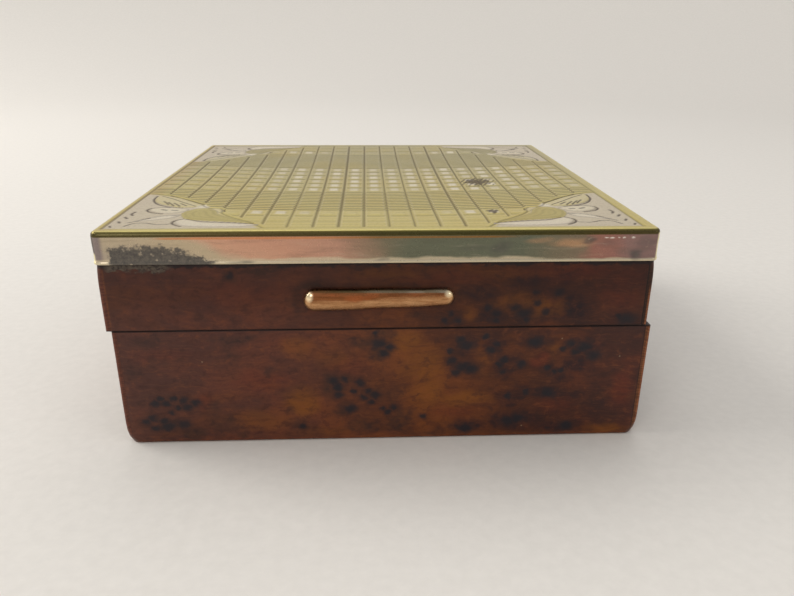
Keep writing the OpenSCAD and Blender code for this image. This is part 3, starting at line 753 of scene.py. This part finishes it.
    # The dark swoosh is chased with long lines that follow its outline
    swoosh = spline(LEAVES[SWOOSH][0], True)
    in_fan = inside(q, swoosh)
    flow = seg_dist(q, swoosh, True) * 2 * np.pi / 1.5
    far = smooth(np.hypot(q[:, 0] - 14.8, q[:, 1] - 17.6), 1.5, 4.5)
    rel += np.where(in_fan, 0.03 * np.cos(flow) * far, 0)
    drk = np.maximum(drk, np.where(in_fan, 0.18 + (0.12 + 0.12 * smooth(-np.cos(flow), -0.2, 1)) * far, 0))
    # a bright heart at the spray's middle: silver and raised, with a painted highlight
    heart = (1 - smooth(np.hypot((q[:, 0] - 15.4) / 1.8, (q[:, 1] - 17.9) / 2.0), 0.5, 1.2)) * ins
    lit = np.maximum(lit, heart * 0.9)
    sil = np.maximum(sil, heart * 0.95)
    rel += heart * 0.05
    for line, half, deep_k in STROKES:
        s = (1 - smooth(seg_dist(q, spline(line)), half * 0.5, half * 1.9)) * ins
        rel -= s * deep_k
        drk = np.maximum(drk, s * 0.95)
    outer = (1 - smooth(np.abs(dist - 0.55), 0.10, 0.36)) * ins
    rel -= outer * 0.08
    drk = np.maximum(drk, outer * 0.62)
    idx = np.where(near)[0]
    relief[idx] += rel * field[idx]
    # the leaves' painted highlights brighten their silver
    silver[idx] = np.where(ins & field[idx], np.maximum(sil, lit * 0.9), silver[idx])
    wear_and_highlight[idx] = np.where(ins & field[idx], lit, wear_and_highlight[idx])
    dark[idx] = np.maximum(dark[idx], drk * field[idx])
    ends = (1 - smooth(np.abs(np.abs(y) - LINE_Y), 0.10, 0.40)) * (np.abs(px) < LINE_X)
    relief -= 0.06 * ends
    dark = np.maximum(dark, ends * 0.40)

    # Two old stains, broken up by the ribs
    for bx, by, rx, ry in ((26.9, -4.8, 4.7, 5.8), (24.9, -39.4, 1.5, 2.3)):
        r = np.hypot((px - bx) / rx, (y - by) / ry)
        ragged = 0.25 * np.sin(px * 2.9 + 1.0) * np.cos(y * 1.7) + 0.18 * np.sin(px * 5.3 - y * 2.1)
        dark = np.maximum(dark, (1 - smooth(r + ragged, 0.45, 1.10)) * 0.90)
    z = np.minimum(TOP - depth + relief, TOP)
    return xs, ys, x, y, z, silver, dark, wear_and_highlight, ribs


def build_cap():
    xs, ys, x, y, z, silver, dark, wear_and_highlight, ribs = cap_field()
    nx, ny = len(xs), len(ys)
    i = np.arange(nx * ny).reshape(ny, nx)
    verts = [np.stack([x, y, z], 1)]
    rim = [np.zeros(len(x))]
    faces = [np.stack([i[:-1, :-1], i[:-1, 1:], i[1:, 1:], i[1:, :-1]], -1).reshape(-1, 4)]

    # Rings from the edge of the field down the skirt, each following the field's own edge points
    arc = 6
    ring0 = np.concatenate([i[0, :-1], i[:-1, -1], i[-1, :0:-1], i[:0:-1, 0]])
    base = np.stack([x[ring0], y[ring0]], 1)
    corner_at = [0, nx - 1, nx + ny - 2, 2 * nx + ny - 3]
    signs = [(-1, -1), (1, -1), (1, 1), (-1, 1)]
    start = [math.pi, -math.pi / 2, 0, math.pi / 2]
    order = []
    for k in range(4):
        order += [(corner_at[k], k, s / arc) for s in range(arc + 1)]
        stop = corner_at[k + 1] if k < 3 else len(ring0)
        order += [(j, -1, 0) for j in range(corner_at[k] + 1, stop)]

    def ring(half, radius):
        out = []
        lim = half - radius
        for j, k, t in order:
            if k >= 0:
                ang = start[k] + t * math.pi / 2
                out.append((signs[k][0] * lim + radius * math.cos(ang), signs[k][1] * lim + radius * math.sin(ang)))
            else:
                bx, by = base[j]
                if abs(abs(by) - FLAT) < 1e-6 and abs(bx) < FLAT:
                    out.append((max(-lim, min(lim, bx)), math.copysign(half, by)))
                else:
                    out.append((math.copysign(half, bx), max(-lim, min(lim, by))))
        return np.array(out)

    profile = []
    for s in range(1, 7):
        t = s / 6 * math.pi / 2
        profile.append((FLAT + EDGE_R * math.sin(t), TOP - EDGE_R * (1 - math.cos(t)), CORNER_R * math.sin(t), 0))
    for zz in np.linspace(TOP - EDGE_R, LOW + 0.65, 9)[1:]:
        profile.append((HALF, zz, CORNER_R, 0))
    profile += [(HALF + 0.03, LOW + 0.50, CORNER_R, 0.6), (HALF + 0.08, LOW + 0.45, CORNER_R + 0.08, 1.0),
                (RIM_HALF, LOW + 0.38, CORNER_R + 0.1, 1), (RIM_HALF, LOW + 0.14, CORNER_R + 0.1, 1.0),
                (RIM_HALF - 0.03, LOW + 0.04, CORNER_R + 0.08, 1), (RIM_HALF - 0.1, LOW, CORNER_R, 1.0),
                (HALF - SHEET + 0.05, LOW, CORNER_R - 0.6, 0.6), (HALF - SHEET + 0.05, LOW + 0.6, CORNER_R - 0.6, 0.0),
                (HALF - SHEET + 0.05, TOP - 1.9, CORNER_R - 0.6, 0.0)]
    prev = np.array([ring0[j] for j, k, t in order])
    count, m = nx * ny, len(order)
    for level, (half, zz, radius, rimness) in enumerate(profile):
        xy = ring(half, radius)
        if 6 <= level <= 13:                      # an old skirt is not perfectly flat
            ang = np.arctan2(xy[:, 1], xy[:, 0])
            s = np.sin(ang * 9 + 0.4) * np.sin(zz * 0.9 + ang * 3) * 0.5 + 0.5
            xy = xy * (1 - 0.07 * s * math.sin(math.pi * (level - 5) / 9) / 54.8)[:, None]
        verts.append(np.column_stack([xy, np.full(m, zz)]))
        rim.append(np.full(m, rimness))
        cur = np.arange(count, count + m)
        faces.append(np.stack([prev, cur, np.roll(cur, -1), np.roll(prev, -1)], 1))
        prev = cur
        count += m
    verts = np.vstack(verts)
    skirt = np.zeros(len(verts))
    skirt[nx * ny + m:] = 1                       # where the skirt's own colours begin
    pad = np.zeros(len(verts) - nx * ny)
    verts = (verts + [CX, CY, 0]) * MM
    poly = [tuple(dict.fromkeys(f)) for f in np.vstack(faces).tolist()]
    poly = [p for p in poly if len(p) >= 3]
    poly.append(tuple(int(v) for v in prev))
    mesh = smooth_mesh("cap_engine_turned", verts.tolist(), poly, CAP_SHARP)
    layers = {"silver": silver, "dark": dark, "wear_and_highlight": wear_and_highlight, "ribs": ribs}
    layers = {key: np.append(values, pad) for key, values in layers.items()}
    for key, values in {**layers, "rim": np.concatenate(rim), "skirt": skirt}.items():
        mesh.attributes.new(key, "FLOAT", "POINT").data.foreach_set("value", values.astype(np.float32))
    return placed("cap_engine_turned", mesh)


def cap_material():
    m = Mat("cap_gilt_and_silvered")
    p = m.pos
    silver, dark, rim, skirt, wear_and_highlight, ribs = (m.attr(key) for key in ("silver", "dark", "rim", "skirt", "wear_and_highlight", "ribs"))
    wave = m.math("COSINE", m.times(m.minus(m.y, CY), 2 * math.pi / RIB))
    dark = m.most(dark, m.times(ribs, m.band(wave, 0.05, -0.85)))
    cloud = m.noise(m.scaled(p, (0.05, 0.05, 0.05)), 3.0)
    fine = m.noise(m.scaled(p, (1.7, 1.7, 1.7)), 4, 0.65)
    tiny = m.noise(m.scaled(p, (5, 5, 5)), 3, 0.6)
    m.colour = m.mix(m.band(m.y, -52, 45), srgb(220, 204, 131), srgb(196, 185, 141))
    m.coat(m.band(cloud, 0.42, 0.68, 0, 0.4), (216, 193, 114))
    m.coat(m.band(fine, 0.48, 0.8, 0, 0.35), (164, 147, 98))
    m.coat(m.band(m.x, -49, -54, 0, 0.5), (200, 170, 120))
    white = m.mix(m.band(fine, 0.4, 0.75, 0, 0.55), srgb(224, 211, 190), srgb(192, 180, 156))
    # brighter where the squares are worn to silver, and where the leaves carry painted highlights
    white = m.mix(m.times(wear_and_highlight, m.band(fine, 0.3, 0.7, 1, 0.6)), white, srgb(250, 240, 214))
    m.coat(silver, white)
    m.coat(m.times(dark, m.band(tiny, 0.1, 0.5, 0.84, 1)), (78, 65, 54))
    rim_x, rim_y = m.abs(m.minus(m.x, CX)), m.abs(m.minus(m.y, CY))
    # painted highlight along the top's rounded edge
    brink_highlight = m.band(m.most(rim_x, rim_y), FLAT - 0.5, FLAT - 0.1, 0, 0.6)
    m.coat(brink_highlight, (226, 211, 136))
    top = m.colour

    # Skirt: silvered metal with old tarnish, warm to the left and at the right end, grey between; the front's tones are
    # partly tarnish and partly painted reflections
    warp = m.warped(p, (0.13, 0.13, 0.30), (7, 7, 1.6), 3.0)
    wx, wy, wz = m.split(warp)
    lean = m.times(m.minus(m.z, 43.0), m.band(m.x, -12, -24, 0, 2.2))
    front_c = m.tones(along_front(m, m.plus(wx, lean)),
                      (0.005, 178, 164, 146), (0.020, 186, 171, 148), (0.185, 192, 174, 146),
                      (0.205, 200, 170, 144), (0.228, 207, 162, 136), (0.320, 203, 154, 130),
                      (0.410, 190, 147, 126), (0.464, 157, 131, 110), (0.500, 126, 118, 98),
                      (0.536, 110, 112, 94), (0.740, 108, 111, 94), (0.800, 126, 117, 98),
                      (0.840, 134, 118, 100), (0.862, 160, 115, 102), (0.902, 158, 115, 105),
                      (0.930, 148, 118, 112), (0.975, 142, 116, 112))
    tan = m.blobs(warp, [(36.2, 43.7, 4.8, 1, 0.8), (29.5, 44.2, 3, 0.6, 0.4)])
    front_c = m.mix(tan, front_c, srgb(186, 146, 112))
    other = m.noise(m.scaled(p, (0.06, 0.06, 0.16), (11, 5, 2)), 3, 0.6)
    other_c = m.tones(other, (0.32, 114, 114, 100), (0.46, 150, 138, 118), (0.58, 180, 142, 120),
                      (0.72, 160, 150, 130))
    is_front = m.band(m.y, -53, -54.0)
    m.colour = m.mix(is_front, other_c, front_c)
    streak = m.noise(m.scaled(warp, (0.10, 0.10, 1.1)), 4, 0.6)
    calm = m.band(is_front, 0, 1, 1, 0.45)
    m.coat(m.times(m.band(streak, 0.48, 0.7, 0, 0.45), calm), (92, 86, 74))
    m.coat(m.times(m.band(streak, 0.44, 0.26, 0, 0.35), calm), (206, 190, 166))
    m.coat(m.times(m.band(m.x, -53.2, -54.3), is_front, 0.8), (128, 116, 120))
    # the pale lower lip: partly polished metal, partly a painted highlight
    cream = m.plus(wz, m.band(m.x, 18, 44, 0, 0.55))      # it thins out toward the right end
    m.coat(m.band(cream, LOW + 1.35, LOW + 0.75, 0, 0.85), (208, 192, 164))
    # painted dark reflection on the rounding of the upper edge, lighter toward the top
    rounding_reflection = m.band(m.z, TOP - 1.18, TOP - 0.96)
    m.coat(m.times(rounding_reflection, 0.94), m.mix(m.band(m.z, TOP - 0.5, TOP - 0.08), srgb(78, 71, 37), srgb(122, 110, 58)))
    reach = m.mix(is_front, m.band(cloud, 0.4, 0.55), m.times(m.band(m.x, -45, -41.0), m.band(m.x, 28, 20)))
    warm = m.times(m.band(m.abs(m.minus(m.z, TOP - 1.34)), 0.30, 0.08), reach)
    m.coat(m.times(warm, 0.75), m.mix(m.band(m.x, -16, 0.0), srgb(206, 132, 82), srgb(150, 104, 50)))

    # Grey-black mottled tarnish at the left of the front, softer spots elsewhere
    mottle = m.noise(m.scaled(p, (1.2, 1.2, 1.5)), 7, 0.85)
    drip = m.noise(m.scaled(p, (0.55, 0.55, 0.7), (5, 5, 5)), 6, 0.72)
    upper = m.plus(m.minus(43.55, m.band(m.x, -43, -32.4, 0, 2.6)), m.band(drip, 0.28, 0.72, -0.75, 0.75))
    upper = m.plus(upper, m.band(mottle, 0.3, 0.7, -0.35, 0.35))
    ragged = m.plus(m.x, m.band(drip, 0.3, 0.7, -0.9, 0.9))
    wide = m.times(m.band(m.minus(upper, m.z), -0.45, 0.55), m.band(ragged, -53, -51.6), m.band(ragged, -31.7, -33.4))
    small = m.blobs(warp, [(22.4, 42.8, 2.6, 1.7, 0.55), (39.6, 44.2, 1.5, 0.8, 0.8), (43.4, 43.7, 2.6, 0.8, 0.35),
                           (51, 43.7, 1.7, 1.8, 0.4), (50.2, 41.2, 1.8, 1.3, 1), (-0.6, 40.5, 1.5, 0.5, 0.5),
                           (-27.5, 40.4, 2.6, 0.4, 0.6), (17.5, 42.9, 3.4, 0.8, 0.25)])
    small = m.times(small, m.band(mottle, 0.3, 0.6, 0.55, 1))
    rest = m.times(m.band(m.noise(m.scaled(p, (0.09, 0.09, 0.2), (2, 8, 5)), 2.0), 0.52, 0.68), m.minus(1, is_front))
    rest = m.times(m.band(m.plus(rest, m.times(m.minus(mottle, 0.5), 3)), 0.5, 1.2), m.band(rest, 0.05, 0.3))
    stain = m.most(m.times(m.most(wide, small), is_front), m.times(rest, 0.8))
    # the rim's pale colour: partly polished metal, partly a painted highlight
    m.coat(m.times(rim, 0.6), (212, 200, 172))
    ash = m.mix(m.band(mottle, 0.36, 0.64), srgb(62, 60, 60), srgb(101, 94, 86))
    ash = m.mix(m.band(m.noise(m.scaled(p, (0.9, 0.9, 1.2), (1, 9, 3)), 2.0), 0.60, 0.74), ash, srgb(156, 143, 124))
    m.coat(m.times(stain, 0.93), ash)
    marks = [(42.9, 44.72, 0.5, 0.17, 1), (44, 44.66, 0.6, 0.17, 1), (45.4, 44.74, 0.3, 0.14, 0.8),
             (46.4, 44.70, 0.35, 0.2, 0.9), (48.2, 44.72, 0.45, 0.24, 0.9)]
    m.coat(m.times(m.blobs(m.warped(p, (2, 2, 2), (0.4, 0, 0.3)), marks), is_front, 0.9), (236, 226, 216))

    # Painted highlights on the front's two upright corners, over their gilt; the left one darker higher up
    corner = m.times(m.band(rim_x, HALF - 0.85, HALF - 0.4), m.band(m.y, -53.3, -53.9),
                     m.band(m.z, TOP - 0.6, TOP - 1.1))
    rubbed = m.mix(m.times(m.band(m.x, 0, -10.0), m.band(m.z, 41.6, 42.4)), srgb(255, 244, 196), srgb(70, 60, 50))
    m.coat(m.times(corner, 0.9), rubbed)

    colour = m.mix(skirt, top, m.colour)
    worn = m.times(skirt, stain)
    rough = m.mix(skirt, m.ramp(fine, [(0.3, 0.32), (0.75, 0.48)]), m.ramp(fine, [(0.3, 0.24), (0.75, 0.38)]))
    rough = m.mix(m.most(dark, worn), rough, (0.75, 0.75, 0.75))
    metal = m.minus(1, m.times(m.most(m.times(dark, 0.8), worn), 0.8))
    normal = m.bump(m.plus(m.times(fine, 0.6), m.times(tiny, 0.4)), 0.00003, 0.3)
    return m.finish(Base_Color=colour, Metallic=metal, Roughness=rough, Normal=normal)


cap = build_cap()
cap.data.materials.append(cap_material())
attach(cap, "lid")
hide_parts("lid_cap")


# Thumb-piece: the solid's half-round bar, worn thinner and flatter toward its right end, on its two studs

def build_thumb():
    lo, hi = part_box("thumb_piece")
    x0, x1 = lo.x * 1000, hi.x * 1000
    face, front, top, low = -WOOD, lo.y * 1000, hi.z * 1000, lo.z * 1000
    mid, half = (x0 + x1) / 2, (x1 - x0) / 2
    stations, around = 72, 16
    verts, faces, rings = [], [], []
    for s in range(1, stations):
        t = -math.cos(math.pi * s / stations)            # -1 at the left end, 1 at the right
        x = mid + half * t
        share = (t + 1) / 2
        high = (top - low) / 2 - 0.02 - 0.52 * share ** 1.3
        z = top - 0.02 - high - 0.10 * share
        edge = max(0, half * abs(t) - (half - high))
        cut = math.sqrt(max(0, 1 - (edge / high) ** 2))
        dent = 0.035 * math.sin(x * 1.7) * math.sin(x * 0.63 + 1.0) + 0.02 * math.sin(x * 3.9 + 0.6)
        out = (face - front) * (1 - 0.16 * share) * cut ** 0.8 - 0.05 - abs(dent)
        z += 0.05 * math.sin(x * 0.5 + 2.0)
        ring = []
        for k in range(around + 1):
            a = math.pi * k / around
            ring.append(len(verts))
            verts.append((x, face - max(out, 0.0) * math.sin(a) ** 0.85, z + high * cut * math.cos(a)))
        rings.append(ring)
    for a, b in zip(rings[:-1], rings[1:]):
        for k in range(around + 1):
            n = (k + 1) % (around + 1)
            faces.append((a[k], a[n], b[n], b[k]))
    for ring, x, flip in ((rings[0], x0 + 0.005, False), (rings[-1], x1 - 0.005, True)):
        pole = len(verts)
        verts.append((x, face - 0.01, (verts[ring[0]][2] + verts[ring[-1]][2]) / 2))
        for k in range(around + 1):
            n = (k + 1) % (around + 1)
            faces.append((pole, ring[k], ring[n]) if flip else (pole, ring[n], ring[k]))
    stud_in, stud_r, sides = 6, 0.98, 24
    angles = [2 * math.pi * k / sides for k in range(sides)]
    for x in (mid - half + stud_in, mid + half - stud_in):    # studs, from inside the bar into the wood
        z = (top + low) / 2
        first = len(verts)
        last = first + sides
        for y in (face - 0.6, hi.y * 1000):
            verts += [(x + math.cos(a) * stud_r, y, z + math.sin(a) * stud_r) for a in angles]
        for k in range(sides):
            n = (k + 1) % sides
            faces.append((first + n, first + k, last + k, last + n))
        faces.append(tuple(range(first, last)))
        faces.append(tuple(range(last + sides - 1, last - 1, -1)))
    mesh = smooth_mesh("thumb_bar_worn", [tuple(c * MM for c in v) for v in verts], faces, BAR_SHARP)
    mesh.materials.append(thumb)
    return placed("thumb_bar_worn", mesh)


bar = build_thumb()
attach(bar, "lid")
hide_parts("thumb_piece")


# Floor that curves up into a pale backdrop all round, light and camera

def stage():
    m = Mat("floor_pale")
    grain = m.noise(m.scaled(m.pos, (0.4, 0.4, 0.4)), 3, 0.6)
    m.finish(Base_Color=m.tones(grain, (0.3, 226, 221, 213), (0.7, 231, 226, 218)), Roughness=0.9,
             Specular_IOR_Level=0.15)
    flat, bend, turns = 0.75, 0.9, 96             # metres: radius of the flat part and of the bend
    slopes = [math.radians(80) * s / 14 for s in range(1, 15)]
    profile = [(flat * s / 4, 0.0) for s in range(1, 5)]
    profile += [(flat + bend * math.sin(a), bend * (1 - math.cos(a))) for a in slopes]
    angles = [t * 2 * math.pi / turns for t in range(turns)]
    verts, faces = [(0, 0, 0)], []
    for r, z in profile:
        verts += [(r * math.cos(a), r * math.sin(a), z) for a in angles]
    for t in range(turns):
        faces.append((0, 1 + t, 1 + (t + 1) % turns))
    for k in range(len(profile) - 1):
        for t in range(turns):
            a, b = 1 + k * turns + t, 1 + k * turns + (t + 1) % turns
            faces.append((a, a + turns, b + turns, b))
    mesh = smooth_mesh("floor", verts, faces)
    mesh.materials.append(m.mat)
    o = placed("floor", mesh)


def area(name, place, target, size, power, colour=(1, 1, 1)):
    light = bpy.data.lights.new(name, "AREA")
    light.shape = "RECTANGLE"
    light.size, light.size_y = size
    light.energy = power
    light.color = colour
    o = placed(name, light)
    o.location = place
    o.rotation_euler = (Vector(target) - Vector(place)).to_track_quat("-Z", "Y").to_euler()


stage()
area("window", (-1, 0.2, 0.72), (0, 0, 0.02), (0.7, 0.7), 8, (1, 0.985, 0.96))
area("overhead", (0, 0.75, 1.5), (0, 0, 0.02), (1.4, 1.0), 4, (1, 0.99, 0.97))
area("front_left", (-0.55, -0.85, 0.7), (0, 0, 0.02), (0.4, 0.4), 1.6, (1, 0.98, 0.95))
area("front_right", (0.75, -0.55, 0.5), (0, 0, 0.03), (0.14, 0.14), 0.32, (1, 0.97, 0.92))

world = bpy.data.worlds.new("studio")
world.use_nodes = True
bg = world.node_tree.nodes["Background"]
bg.inputs[0].default_value = (0.96, 0.97, 1, 1)
bg.inputs[1].default_value = 0.58
scene.world = world

cam = bpy.data.cameras.new("camera")
cam.sensor_fit = "HORIZONTAL"
cam.sensor_width = 36.0
cam.lens = 30.643
cam.clip_start = 0.01
cam.clip_end = 20
cam_o = placed("camera", cam)
# The camera's turn and place were fitted to the box's corners in the photograph
turn = Matrix(((0.99897895, 0.01050697, -0.04393918),
               (-0.04477258, 0.36024268, -0.93178357),
               (0.00603854, 0.93279945, 0.36034528)))
cam_o.matrix_world = Matrix.Translation((-0.003658, -0.179538, 0.080806)) @ turn.to_4x4()
scene.camera = cam_o
scene.view_settings.view_transform = "Standard"
